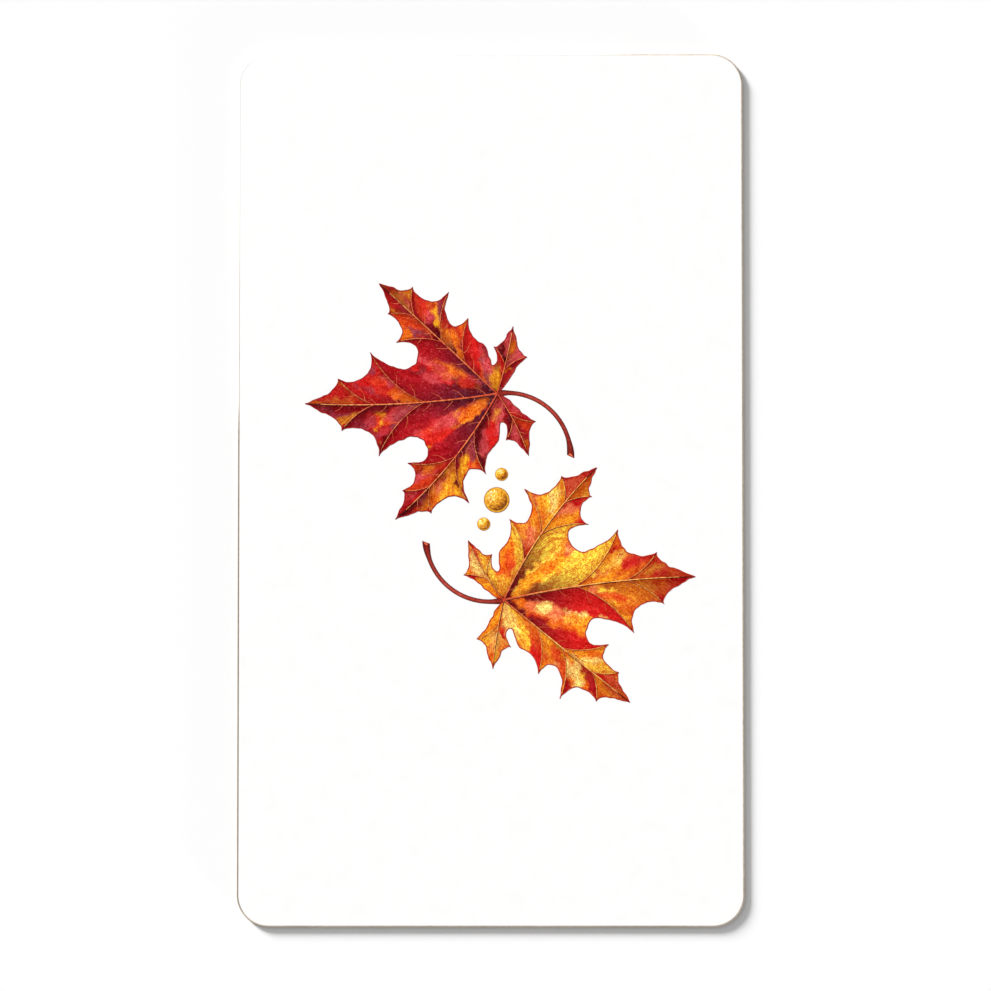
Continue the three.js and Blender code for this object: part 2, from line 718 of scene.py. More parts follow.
@dataclass(frozen=True)
class Stroke:
    """One drawn stroke: a long film between a left and a right side, highest along its middle."""

    left: Line
    right: Line
    base: float
    crown: float
    slot: int = 0
    rows: int = 4
    shoulder: float = 0.35  # the height of its two sides, as a share of its crown

    def add_to(self, bm: bmesh.types.BMesh) -> None:
        """Adds the stroke to a mesh as a closed film.

        Args:
            bm: the mesh, which has the float layers "along" and "across".
        """
        along = bm.verts.layers.float["along"]
        across = bm.verts.layers.float["across"]
        columns = len(self.left) - 1
        made = bmesh.ops.create_grid(bm, x_segments=columns, y_segments=self.rows, size=0.5)
        runs = run_lengths((self.left + self.right) / 2)
        faces = list(dict.fromkeys(face for vert in made["verts"] for face in vert.link_faces))
        for vert in made["verts"]:
            column = round((vert.co.x + 0.5) * columns)
            share = vert.co.y + 0.5
            x, y = self.right[column] * (1 - share) + self.left[column] * share
            vert[along] = runs[column]
            vert[across] = 2 * share - 1
            vert.co = (x, y, self.base)
        for face in faces:
            face.material_index = self.slot
        rise = 1 - self.shoulder
        thicken(bm, faces, lambda vert: self.crown * (self.shoulder + rise * (1 - vert[across] ** 2)))


def drawn_along(path: Line, widths: np.ndarray, base: float, crown: float, slot: int = 0,
                rows: int = 4) -> Stroke:
    """The stroke of a pen that follows a path and presses harder or softer on the way.

    Args:
        path: the middle of the stroke.
        widths: its full width at each point of the path.
        base: the height of its underside.
        crown: how much higher its middle is.
        slot: the material slot of its faces.
        rows: how many faces lie across it.

    Returns:
        The stroke.
    """
    reach = sideways(path) * widths[:, None] / 2
    return Stroke(path + reach, path - reach, base, crown, slot, rows)


def new_line_mesh() -> bmesh.types.BMesh:
    """An empty mesh whose corners say how far along and across their stroke they are."""
    bm = bmesh.new()
    bm.verts.layers.float.new("along")
    bm.verts.layers.float.new("across")
    return bm


# ---------------------------------------------------------------------------------------------
# The board


@dataclass
class BoardStock:
    """The sheet of board, with its rounded corners and its rolled rims."""

    corner_radius: float = 4.4
    corner_segments: int = 24
    rim_roll: float = 0.15
    rim_segments: int = 5
    rim_wear: float = 0.08

    def build(self) -> bpy.types.Object:
        """Builds the board in the place of the CAD card, and dresses it.

        Returns:
            The board.
        """
        low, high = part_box(CARD_NODE)
        size = (high - low) / MM
        bm = bmesh.new()
        bmesh.ops.create_cube(bm, size=1.0)
        bmesh.ops.scale(bm, vec=size, verts=bm.verts)
        upright = [edge for edge in bm.edges if abs(edge.verts[0].co.z - edge.verts[1].co.z) > 0.5 * size.z]
        bmesh.ops.bevel(bm, geom=upright, offset=self.corner_radius, offset_type="OFFSET",
                        segments=self.corner_segments, profile=0.5, affect="EDGES", material=-1)
        rims = [edge for edge in bm.edges
                if any(len(face.verts) > 4 for face in edge.link_faces)]
        bmesh.ops.bevel(bm, geom=rims, offset=self.rim_roll, offset_type="OFFSET",
                        segments=self.rim_segments, profile=0.5, affect="EDGES", material=-1)
        for face in bm.faces:
            face.smooth = len(face.verts) == 4
            face.material_index = 1 if face.smooth else 0
        top = max(bm.faces, key=lambda face: face.calc_center_median().z)
        worn = bmesh.ops.inset_region(bm, faces=[top], thickness=self.rim_wear, use_even_offset=True)
        for face in worn["faces"]:
            face.material_index = 1
        bmesh.ops.scale(bm, vec=(MM, MM, MM), verts=bm.verts)
        bmesh.ops.translate(bm, vec=(low + high) / 2, verts=bm.verts)
        board = new_object("board", bm, [CoatedBoard().material(), CutEdge().material()])
        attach(board, BODY)
        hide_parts(CARD_NODE)
        return board


# ---------------------------------------------------------------------------------------------
# The leaves


@dataclass(frozen=True)
class Vein:
    """One vein of a leaf, in millimetres on the card."""

    name: str
    parent: str  # the vein that it leaves, or nothing where it leaves the stem's end
    points: tuple[Point, ...]  # from its root, or from near it, to its tip
    width: float  # at its root


@dataclass(frozen=True)
class Panel:
    """The part of a blade between two veins that end next to each other on its outline."""

    to: str  # the vein at its far side, or nothing where it ends at the stem
    via: tuple[Point, ...]  # the outline's points on the way to that vein's tip


@dataclass(frozen=True)
class Tooth:
    """One tooth at the side of a lobe, in lengths of the leaf's main vein."""

    along: float  # how far out its tip is along the lobe's vein
    across: float  # how far its tip stands off from that vein
    leave: float  # where its own vein leaves the lobe's, as a share of the lobe's length


@dataclass(frozen=True)
class Lobe:
    """One lobe of a leaf, in lengths of the leaf's main vein."""

    name: str
    angle: float  # degrees between its vein and the main vein
    length: float
    upper: tuple[Tooth, ...]  # on the side nearer the leaf's tip, from the root out
    lower: tuple[Tooth, ...]  # on the side nearer the stem, from the root out
    width: float  # of its vein at the root, in millimetres
    bow: float = 0.0  # how far its vein bends towards the stem


@dataclass(frozen=True)
class Placement:
    """Where a leaf lies on the card, and how it bends."""

    junction: Point
    turn: float  # degrees from +X to the main vein
    length: float = 26.6  # of the main vein
    sway: float = -6.0  # degrees that the leaf's far end bends round by
    stem_length: float = 15.0
    stem_bend: float = -98.0  # degrees that the stem turns through

    def lay(self, spot: Point) -> Point:
        """Where a point of the leaf comes to lie, from its place in lengths of the main vein."""
        bent = turned(np.array(spot), self.turn + self.sway * math.hypot(*spot))
        return tuple(np.array(self.junction) + self.length * bent)

    def stem(self, step: float) -> Line:
        """The middle of the stem, which is an arc, from the junction to its end."""
        count = math.ceil(self.stem_length / step)
        headings = np.radians(self.turn + 180 + self.stem_bend * (np.arange(count) + 0.5) / count)
        steps = np.stack([np.cos(headings), np.sin(headings)], axis=1) * self.stem_length / count
        return np.array(self.junction) + np.cumsum(steps, axis=0)


@dataclass(frozen=True)
class MapleForm:
    """The textbook form of a maple leaf: five lobes with pointed teeth, alike on its two sides."""

    middle: Lobe = Lobe(
        "middle", angle=0.0, length=1.0, width=0.25,
        upper=(), lower=(Tooth(0.64, 0.27, 0.38), Tooth(0.82, 0.135, 0.64)))
    side: Lobe = Lobe(
        "side", angle=47.0, length=0.84, width=0.22, bow=0.02,
        upper=(Tooth(0.57, 0.165, 0.46), Tooth(0.70, 0.085, 0.70)),
        lower=(Tooth(0.37, 0.18, 0.26), Tooth(0.54, 0.21, 0.46), Tooth(0.70, 0.105, 0.70)))
    base: Lobe = Lobe(
        "base", angle=110.0, length=0.36, width=0.15, bow=0.01,
        upper=(Tooth(0.235, 0.08, 0.42),), lower=(Tooth(0.22, 0.10, 0.34),))
    inner_bay: Point = (0.465, 23.0)  # between the middle and a side lobe: how far out, and degrees
    outer_bay: Point = (0.25, 83.0)  # between a side and a base lobe
    heel: tuple[Point, ...] = ((-0.078, 0.075), (-0.038, 0.026))  # the blade's edge behind the junction
    tooth_width: float = 0.10  # of a tooth's vein at its root, in millimetres
    near: Point = (0.16, 0.56)  # past a tooth: shares of the gap to the next one, and of its reach
    far: Point = (0.60, 0.30)  # short of the next tooth: the same two shares
    far_rise: float = 0.28  # the share of the next tooth's reach that the far point takes as well
    taper: float = 0.24  # the share of the last tooth's reach, short of the lobe's tip
    neck: Point = (0.40, 0.72)  # below a lobe's lowest tooth, in shares of its reach
    shoulder: Point = (0.09, 0.66)  # before a lobe's first upper tooth: how far back, and its reach's share

    @staticmethod
    def on_lobe(lobe: Lobe, along: float, across: float) -> Point:
        """A point beside a lobe's vein, which lies on its lower side where across is above 0."""
        onward = turned(np.array([1.0, 0.0]), lobe.angle)
        bowed = lobe.bow * math.sin(math.pi * min(along / lobe.length, 1.0))
        return tuple(onward * along + turned(onward, 90.0) * (across + bowed))

    @staticmethod
    def bay(place: Point) -> Point:
        """The bottom of a hollow between two lobes."""
        reach, angle = place
        return tuple(turned(np.array([reach, 0.0]), angle))

    def hollows(self, lobe: Lobe, teeth: tuple[Tooth, ...], side: float) -> list[tuple[Point, ...]]:
        """The outline's points between the teeth of one side of a lobe, and on to its tip.

        Args:
            lobe: the lobe.
            teeth: the teeth of that side, from the root out.
            side: 1 for the lower side, -1 for the upper.

        Returns:
            The points above each tooth, from the root out.
        """
        found = []
        for index, tooth in enumerate(teeth):
            last = index == len(teeth) - 1
            beyond, reach = (lobe.length, 0.0) if last else (teeth[index + 1].along, teeth[index + 1].across)
            gap = beyond - tooth.along
            near = self.on_lobe(lobe, tooth.along + self.near[0] * gap, side * self.near[1] * tooth.across)
            width = self.taper * tooth.across if last else self.far[1] * tooth.across + self.far_rise * reach
            far = self.on_lobe(lobe, tooth.along + self.far[0] * gap, side * width)
            found.append((near, far))
        return found

    def walk(self) -> tuple[list[Vein], list[tuple[Point, ...]]]:
        """Goes down the left side of the leaf, from the middle lobe's tip to the stem.

        Returns:
            The veins whose tips it meets, and the outline's points after each of them.
        """
        veins: list[Vein] = []
        vias: list[tuple[Point, ...]] = []
        bays = {"middle": self.bay(self.inner_bay), "side": self.bay(self.outer_bay)}
        for lobe in (self.middle, self.side, self.base):
            upward = self.hollows(lobe, lobe.upper, -1.0)
            for index, tooth in enumerate(lobe.upper):
                veins.append(self.tooth_vein(lobe, tooth, -1.0, f"{lobe.name}_upper_{index + 1}"))
                vias.append(upward[index])
            half = self.on_lobe(lobe, 0.5 * lobe.length, 0.0)
            veins.append(Vein(lobe.name, "", (half, self.on_lobe(lobe, lobe.length, 0.0)), lobe.width))
            downward = self.hollows(lobe, lobe.lower, 1.0)
            for index, tooth in reversed(list(enumerate(lobe.lower))):
                vias.append(tuple(reversed(downward[index])))
                veins.append(self.tooth_vein(lobe, tooth, 1.0, f"{lobe.name}_lower_{index + 1}"))
            lowest = lobe.lower[0]
            back, out = self.neck
            neck = self.on_lobe(lobe, lowest.along - back * lowest.across, out * lowest.across)
            if lobe.name in bays:
                following = self.side if lobe is self.middle else self.base
                first = following.upper[0]
                back, out = self.shoulder
                rise = self.on_lobe(following, first.along - back, -out * first.across)
                vias.append((neck, bays[lobe.name], rise))
            else:
                vias.append((neck, *self.heel))
        return veins, vias

    def tooth_vein(self, lobe: Lobe, tooth: Tooth, side: float, name: str) -> Vein:
        """The vein of one tooth, from the lobe's vein to the tooth's tip."""
        root = self.on_lobe(lobe, tooth.leave * lobe.length, 0.0)
        tip = self.on_lobe(lobe, tooth.along, side * tooth.across)
        return Vein(name, lobe.name, (root, tip), self.tooth_width)

    def laid(self, place: Placement) -> tuple[tuple[Vein, ...], tuple[Panel, ...]]:
        """Lays the whole leaf on the card.

        Args:
            place: where it lies.

        Returns:
            Its veins, the main one first, and its panels, anticlockwise from the stem.
        """
        veins, vias = self.walk()
        laid: list[Vein] = []
        for side, mirror in (("left", 1.0), ("right", -1.0)):
            for vein in veins:
                if vein is veins[0] and side == "right":
                    continue
                spots = tuple(place.lay((x, mirror * y)) for x, y in vein.points)
                parent = self.named(vein.parent, side)
                laid.append(Vein(self.named(vein.name, side), parent, spots, vein.width))
        laid.sort(key=lambda vein: bool(vein.parent))
        down = [tuple(place.lay(spot) for spot in via) for via in vias]
        up = [tuple(place.lay((x, -y)) for x, y in reversed(via)) for via in vias]
        panels = [Panel(self.named(vein.name, "right"), via) for vein, via in zip(veins[::-1], up[::-1])]
        onward = [self.named(vein.name, "left") for vein in veins[1:]] + [""]
        panels += [Panel(name, via) for name, via in zip(onward, down)]
        return tuple(laid), tuple(panels)

    @staticmethod
    def named(name: str, side: str) -> str:
        """A vein's name on one side of the leaf; the middle lobe's own vein has no side."""
        return name if name in ("", "middle") else f"{side}_{name}"


@dataclass(frozen=True)
class Palette:
    """The paints of one leaf."""

    roots: tuple[Pigment, ...]  # where two veins part, panel after panel
    rims: tuple[Pigment, ...]  # along the outline, panel after panel
    dabs: tuple[Pigment, ...]
    tip: Pigment  # towards the ends of the lobes
    tip_strength: float
    shadow: Colour
    contour: Colour
    twig: Colour  # of the finest veins
    veins: tuple[Colour, Colour, Colour]  # at the root, half-way and at the tip
    under: Colour = (0.055, 0.010, 0.012)  # the dark line under each vein
    stem: Colour = (0.52, 0.065, 0.045)  # along its middle
    stem_side: Colour = (0.07, 0.010, 0.010)


@dataclass(frozen=True)
class LeafPlan:
    """What is particular to one leaf: where it lies and what it is painted with."""

    name: str
    place: Placement
    palette: Palette


@dataclass(frozen=True)
class Dab:
    """One dab of a wet brush."""

    at: np.ndarray
    long: float
    wide: float
    turn: float  # degrees from +X
    pigment: Pigment
    strength: float


@dataclass
class LeafPrint:
    """One printed leaf: its blade, its contour and veins, and its stem."""

    name: str
    place: Placement
    palette: Palette
    face: PrintedFace
    form: MapleForm = MapleForm()
    step: float = 0.22  # between two points of a line
    spacing: float = 0.27  # between two points inside the blade
    stray: float = 0.09  # of the outline from its smooth course
    tip_angle: float = 12.0  # degrees between a tip's sides and its vein
    foot: Point = (-0.012, 0.013)  # where the blade's edge meets the stem, in lengths of the main vein
    stem_root: float = 1.8  # how far the stem runs on along the main vein
    dab_area: float = 3.4  # of a panel, in square millimetres, for each dab
    twig_pitch: float = 1.5  # between two of the finest veins
    film: float = 0.010  # how far the blade's ink stands above the face
    light: Point = (-0.62, 0.78)  # towards the light that the veins' shadows tell of
    veins: tuple[Vein, ...] = ()
    panels: tuple[Panel, ...] = ()
    lines: dict[str, Line] = field(default_factory=dict)
    sections: list[Line] = field(default_factory=list)
    regions: list[Line] = field(default_factory=list)

    def __post_init__(self) -> None:
        """Draws the veins and the outline, which everything else follows."""
        self.veins, self.panels = self.form.laid(self.place)
        self.trace_veins()
        self.trace_outline()
        self.trace_regions()

    def vein(self, name: str) -> Vein:
        """The vein of that name."""
        return next(vein for vein in self.veins if vein.name == name)

    def trace_veins(self) -> None:
        """Draws each vein from its parent, which it leaves at an even angle, to its tip."""
        for vein in self.veins:
            points = list(vein.points)
            start = None
            if vein.parent:
                parent = self.lines[vein.parent]
                index = int(np.hypot(*(parent - np.array(points[0])).T).argmin())
                index = min(max(index, 1), len(parent) - 2)
                points[0] = tuple(parent[index])
                onward = unit(parent[index + 1] - parent[index - 1])
                start = unit(onward + unit(np.array(points[1]) - parent[index]))
            else:
                points.insert(0, self.place.junction)
            self.lines[vein.name] = smooth_line(points, self.step, start)

    def root_path(self, name: str) -> Line:
        """The way from a vein's tip down to the stem's end, along the veins that it grows from."""
        if not name:
            return np.array([self.place.junction])
        vein, line = self.vein(name), self.lines[name][::-1]
        if not vein.parent:
            return line
        below = self.root_path(vein.parent)
        joint = int(np.hypot(*(below - line[-1]).T).argmin())
        return np.concatenate([line, below[joint + 1:]])

    def trace_outline(self) -> None:
        """Draws the outline anticlockwise, in one section from each vein's end to the next."""
        along, across = self.foot
        marks: list[Point] = [self.place.lay((along, -across))]
        ways: dict[int, np.ndarray] = {}
        for panel in self.panels:
            marks.extend(panel.via)
            if panel.to:
                line = self.lines[panel.to]
                ways[len(marks)] = unit(line[-1] - line[-4])
                marks.append(tuple(line[-1]))
        marks.append(self.place.lay(self.foot))
        stops = [0, *ways, len(marks) - 1]
        for first, last in zip(stops, stops[1:]):
            leave = turned(-ways[first], -self.tip_angle) if first in ways else None
            arrive = turned(ways[last], self.tip_angle) if last in ways else None
            section = smooth_line(marks[first:last + 1], self.step, leave, arrive)
            self.sections.append(unsteady(section, self.stray, 0.8))

    def trace_regions(self) -> None:
        """Closes each section of the outline along the veins at its two ends, as one region."""
        names = ["", *[panel.to for panel in self.panels]]
        for section, before, after in zip(self.sections, names, names[1:]):
            down, back = self.root_path(after), self.root_path(before)
            self.regions.append(np.concatenate([section, down, back[::-1]]))

    def outline(self) -> Line:
        """The whole outline, once round."""
        return np.concatenate([section[:-1] for section in self.sections] + [self.sections[-1][-1:]])

    def build(self) -> list[bpy.types.Object]:
        """Builds every piece of the leaf.

        Returns:
            The pieces.
        """
        return [self.build_blade(), self.build_lines(), self.build_stem()]

    def build_blade(self) -> bpy.types.Object:
        """Builds the painted blade: one closed film, finely divided so that it can hold the washes."""
        outline = self.outline()
        corners = [tuple(point) for point in outline]
        edges: list[tuple[int, int]] = []
        for line in self.lines.values():
            first = len(corners)
            corners.extend(tuple(point) for point in line)
            edges.extend((first + i, first + i + 1) for i in range(len(line) - 1))
        corners.extend(self.filling(outline))
        points, _, faces, *_ = delaunay_2d_cdt([Vector(corner) for corner in corners], edges,
                                               [list(range(len(outline)))], 1, 1e-4)
        bm = bmesh.new()
        verts = [bm.verts.new((point.x, point.y, BED)) for point in points]
        sheet = [bm.faces.new([verts[index] for index in face]) for face in faces]
        bmesh.ops.delete(bm, geom=[vert for vert in verts if not vert.link_faces], context="VERTS")
        thicken(bm, sheet, lambda vert: self.film - BED)
        mesh_points = np.array([vert.co[:2] for vert in bm.verts])
        material = PaintedBlade(f"{self.name}_wash", self.palette.shadow).material()
        blade = self.face.finish_piece(f"{self.name}_blade", bm, [material])
        self.paint(blade.data, mesh_points)
        return blade

    def filling(self, outline: Line) -> list[Point]:
        """The points of a staggered grid that lie inside the outline and clear of every line."""
        low, high = outline.min(axis=0), outline.max(axis=0)
        rows = np.arange(low[1], high[1], self.spacing * math.sqrt(3) / 2)
        columns = np.arange(low[0], high[0], self.spacing)
        grid = np.array([(x + (0.5 * self.spacing if i % 2 else 0.0), y)
                         for i, y in enumerate(rows) for x in columns])
        grid = grid[inside(grid, outline)]
        for line in (outline, *self.lines.values()):
            grid = grid[nearest_on(grid, line)[0] > 0.5 * self.spacing]
        return [tuple(point) for point in grid]

    def paint(self, mesh: bpy.types.Mesh, points: np.ndarray) -> None:
        """Writes what the blade's shader reads: the wash, the depth and the flow, panel by panel.

        Args:
            mesh: the blade's mesh.
            points: its corners in the plane of the picture.
        """
        loops = np.empty(len(mesh.loops), np.int32)
        mesh.loops.foreach_get("vertex_index", loops)
        sizes = np.array([polygon.loop_total for polygon in mesh.polygons])
        owner = np.repeat(np.arange(len(sizes)), sizes)
        centres = np.zeros((len(sizes), 2))
        np.add.at(centres, owner, points[loops])
        centres /= sizes[:, None]
        panel_of = np.full(len(sizes), -1)
        for index, region in enumerate(self.regions):
            panel_of[(panel_of < 0) & inside(centres, region)] = index
        self.adopt_strays(panel_of, centres)
        wash = np.ones((len(loops), 4), np.float32)
        depth = np.zeros(len(loops), np.float32)
        flow = np.zeros((len(loops), 3), np.float32)
        for index in range(len(self.regions)):
            mine = panel_of[owner] == index
            if mine.any():
                spots = points[loops[mine]]
                wash[mine, :3], depth[mine], flow[mine] = self.paint_panel(index, spots)
        mesh.attributes.new("wash", "FLOAT_COLOR", "CORNER").data.foreach_set("color", wash.ravel())
        mesh.attributes.new("depth", "FLOAT", "CORNER").data.foreach_set("value", depth)
        mesh.attributes.new("flow", "FLOAT_VECTOR", "CORNER").data.foreach_set("vector", flow.ravel())

    @staticmethod
    def adopt_strays(panel_of: np.ndarray, centres: np.ndarray) -> None:
        """Gives each face that no region holds to the panel of the nearest face that has one."""
        settled = np.flatnonzero(panel_of >= 0)
        for stray in np.flatnonzero(panel_of < 0):
            gaps = ((centres[settled] - centres[stray]) ** 2).sum(axis=1)
            panel_of[stray] = panel_of[settled[gaps.argmin()]]

    def paint_panel(self, index: int, spots: np.ndarray) -> tuple[np.ndarray, np.ndarray, np.ndarray]:
        """Works out the paint of one panel.

        Args:
            index: the panel's place round the leaf.
            spots: the points to paint.

        Returns:
            The wash colours, the depths of shadow and the brush's flow at the points.
        """
        after = self.panels[index].to
        before = self.panels[index - 1].to if index else ""
        fork, first, second = self.fork(before, after)
        to_first, way_first = nearest_on(spots, first)
        to_second, way_second = nearest_on(spots, second)
        to_rim, _ = nearest_on(spots, self.sections[index])
        out = np.hypot(*(spots - fork).T)
        share = smoothstep(0.15, 0.95, out / (out + 1.4 * to_rim + 1e-6))
        roots, rims = self.palette.roots, self.palette.rims
        wash = self.blend(roots[index % len(roots)], rims[index % len(rims)], share)
        ragged = np.array([[noise.noise(Vector((x * 1.1, y * 1.1, level))) for level in (3.0, 13.0)]
                           for x, y in spots])
        for dab in self.choose_dabs(index, fork):
            wash = self.lay_dab(dab, spots + 0.6 * ragged, wash)
        far = np.hypot(*(spots + 1.5 * ragged - np.array(self.place.junction)).T) / self.place.length
        ends = self.palette.tip_strength * smoothstep(0.45, 0.95, far)[:, None]
        wash = wash + (np.array(self.palette.tip.linear()) - wash) * ends
        depth = np.maximum(self.shade(before, to_first, way_first), self.shade(after, to_second, way_second))
        depth = np.maximum(depth, 0.8 * np.exp(-out / 2.2))
        across = to_first / (to_first + to_second + 1e-6)
        flow = np.stack([across * 9.0 + index * 17.0, out * 0.35, np.full(len(out), index * 3.0)], axis=1)
        return wash, depth, flow

    def choose_dabs(self, index: int, fork: np.ndarray) -> list[Dab]:
        """Chooses the dabs of one panel, which lie along it and are the same in every run.

        Args:
            index: the panel's place round the leaf.
            fork: where the veins at its two sides part.

        Returns:
            The dabs, in the order that they are laid.
        """
        chance = random.Random(f"{self.name} {index}")
        section = self.sections[index]
        reach = section.mean(axis=0) - fork
        length = float(np.hypot(*reach))
        width = float(np.hypot(*(section[-1] - section[0])))
        bearing = math.degrees(math.atan2(reach[1], reach[0]))
        dabs = []
        for _ in range(max(2, round(length * width / self.dab_area))):
            far = chance.uniform(0.25, 1.0)
            aside = chance.uniform(-0.32, 0.32) * width * far
            at = fork + reach * far + turned(reach / length, 90.0) * aside
            dabs.append(Dab(at, chance.uniform(0.9, 2.4), chance.uniform(0.35, 0.85),
                            bearing + chance.uniform(-14, 14), chance.choice(self.palette.dabs),
                            chance.uniform(0.55, 1.0)))
        return dabs

    @staticmethod
    def blend(low: Pigment, high: Pigment, share: np.ndarray) -> np.ndarray:
        """The mixture of two pigments, with a share of the second for each point."""
        first, second = np.array(low.linear()), np.array(high.linear())
        return first + (second - first) * share[:, None]

    def fork(self, before: str, after: str) -> tuple[np.ndarray, Line, Line]:
        """Where the veins at a panel's two sides part, and each vein's line from there on."""
        first, second = self.root_path(before), self.root_path(after)
        shared = 0
        while (shared < min(len(first), len(second))
               and np.allclose(first[-1 - shared], second[-1 - shared])):
            shared += 1
        point = first[-shared] if shared else first[-1]
        sides = []
        for line in (first, second):
            kept = line[:max(len(line) - shared + 1, 1)]
            sides.append(kept if len(kept) > 1 else np.array([point, point + 1e-3]))
        return point, sides[0], sides[1]

    @staticmethod
    def lay_dab(dab: Dab, spots: np.ndarray, wash: np.ndarray) -> np.ndarray:
        """Lays one pointed dab over the wash, firm along one side and soft along the other."""
        turn = math.radians(dab.turn)
        offset = spots - dab.at
        along = (offset @ np.array([math.cos(turn), math.sin(turn)])) / (1.35 * dab.long)
        across = (offset @ np.array([-math.sin(turn), math.cos(turn)])) / (1.25 * dab.wide)
        reach = across / (0.12 + np.sqrt(np.clip(1 - along**2, 0, 1)))
        edge = np.where(across > 0, smoothstep(0.75, 1.0, reach), smoothstep(0.1, 1.15, -reach))
        cover = dab.strength * (1 - edge) * (1 - smoothstep(0.8, 1.1, np.abs(along)))
        return wash + (np.array(dab.pigment.linear()) - wash) * cover[:, None]

    def shade(self, name: str, distance: np.ndarray, way: np.ndarray) -> np.ndarray:
        """The shadow that a vein casts into the panel beside it, deeper on the side away from the light."""
        if not name:
            return 0.5 * np.exp(-distance / 0.5)
        vein = self.vein(name)
        heavy = min(1.0, vein.width / 0.27)
        away = 0.5 - 0.5 * (way @ np.array(self.light))
        strength = (0.4 + 0.6 * away) * (0.5 + 0.5 * heavy)
        return strength * np.exp(-distance / (0.4 + 1.5 * heavy))

    def build_lines(self) -> bpy.types.Object:
        """Builds the drawn lines: the contour, the finest veins, and each vein over its own dark line."""
        bm = new_line_mesh()
        for section in self.sections:
            press = 0.09 + 0.07 * np.sin(math.pi * run_lengths(section)) ** 0.6
            drawn_along(section, press, 0.006, 0.012, slot=2, rows=2).add_to(bm)
        for vein in self.veins:
            for twig in self.twigs(vein):
                press = 0.10 - 0.06 * run_lengths(twig)
                drawn_along(twig, press, 0.006, 0.009, slot=3, rows=2).add_to(bm)
        for rank, vein in enumerate(self.veins):
            self.draw_vein(bm, vein, 0.0004 * (len(self.veins) - rank))
        palette = self.palette
        inks = [DrawnLine(f"{self.name}_vein", *palette.veins, palette.veins[0]),
                DrawnLine.plain(f"{self.name}_vein_shadow", palette.under),
                DrawnLine.plain(f"{self.name}_contour", palette.contour),
                DrawnLine.plain(f"{self.name}_twig", palette.twig)]
        return self.face.finish_piece(f"{self.name}_lines", bm, [ink.material() for ink in inks])

    def twigs(self, vein: Vein) -> list[Line]:
        """The finest veins, which leave a vein to its left and right and stop short of the next line.

        Args:
            vein: the vein that they leave.

        Returns:
            Their lines, from the vein outwards.
        """
        line = self.lines[vein.name]
        others = [self.lines[other.name] for other in self.veins if other is not vein] + self.sections
        every = round(self.twig_pitch / self.step)
        found = []
        for count, index in enumerate(range(every, len(line) - 2 * every, every)):
            onward = unit(line[index + 1] - line[index - 1])
            side = 1 if count % 2 else -1
            reach = 0.5 * self.twig_pitch * (3.0 - 1.4 * index / len(line))
            bend = [line[index], line[index] + 0.5 * reach * turned(onward, side * 52),
                    line[index] + 0.5 * reach * (turned(onward, side * 52) + turned(onward, side * 30))]
            twig = smooth_line([tuple(spot) for spot in bend], self.step)
            clear = np.min([nearest_on(twig, other)[0] for other in others], axis=0) > 0.3
            kept = len(twig) if clear[2:].all() else int((~clear[2:]).argmax()) + 2
            if kept > 4:
                found.append(unsteady(twig[:kept], 0.05, 0.6))
        return found

    def draw_vein(self, bm: bmesh.types.BMesh, vein: Vein, lift: float) -> None:
        """Draws a vein that thins and breaks up on its way, over a dark line down to its tip.

        Args:
            bm: the mesh of the drawn lines.
            vein: the vein.
            lift: how much higher it lies than the last vein of the leaf.
        """
        line = self.lines[vein.name]
        runs = run_lengths(line)
        width = 0.04 + (vein.width - 0.04) * (1 - runs) ** 0.6
        under = line + np.array([0.03, -0.04])
        drawn_along(under, width + 0.09 * (1 - 0.5 * runs), 0.004, 0.010 + lift, slot=1, rows=2).add_to(bm)
        kept = max(3, int(0.92 * len(line)))
        breaks = np.array([noise.noise(Vector((x * 1.9, y * 1.9, 9.0))) for x, y in line])
        press = np.clip(0.95 + 1.1 * breaks * runs**0.3, 0.35, 1.25)
        drawn_along(line[:kept], (width * press)[:kept], 0.010, 0.012 + lift, slot=0).add_to(bm)

    def build_stem(self) -> bpy.types.Object:
        """Builds the stem, which widens to the slanting cut at its end."""
        bm = new_line_mesh()
        main = self.lines[self.veins[0].name]
        inside_part = main[:round(self.stem_root / self.step) + 1][::-1]
        path = np.concatenate([inside_part, self.place.stem(self.step)])
        runs = run_lengths(path)
        past = np.hypot(*(path - np.array(self.place.junction)).T)
        before = np.arange(len(path)) < past.argmin()
        widths = 0.62 + 0.42 * np.exp(-((past / 1.1) ** 2)) + 0.40 * smoothstep(0.84, 1.0, runs)
        widths *= np.where(before, 1 - 0.85 * smoothstep(0.0, self.stem_root, past), 1.0)
        reach = sideways(path) * widths[:, None] / 2
        left, right = path + reach, path - reach
        onward = unit(path[-1] - path[-2])
        left[-1], right[-1] = left[-1] + 0.45 * onward, right[-1] - 0.05 * onward
        Stroke(left, right, BED, 0.020, rows=8).add_to(bm)
        self.draw_cut(bm, left[-1], right[-1], -onward)
        red, bark = self.palette.stem, Pigment.BARK.linear()
        inks = [DrawnLine(f"{self.name}_stem", bark, red, bark, self.palette.stem_side, 0.12),
                DrawnLine(f"{self.name}_stem_cut", red, Pigment.SALMON.linear(), red, bark, 0.3)]
        return self.face.finish_piece(f"{self.name}_stem", bm, [ink.material() for ink in inks])

    @staticmethod
    def draw_cut(bm: bmesh.types.BMesh, first: np.ndarray, last: np.ndarray, inward: np.ndarray) -> None:
        """Draws the pale face of the stem's cut.

        Args:
            bm: the stem's mesh.
            first: the cut's one end.
            last: its other end.
            inward: the direction from the cut back along the stem.
        """
        share = np.linspace(0.12, 0.88, 9)[:, None]
        chord = first + (last - first) * share
        bow = np.sin(math.pi * np.linspace(0, 1, 9))[:, None]
        Stroke(chord + inward * (0.10 + 0.36 * bow), chord + inward * 0.07, 0.012, 0.014, slot=1).add_to(bm)


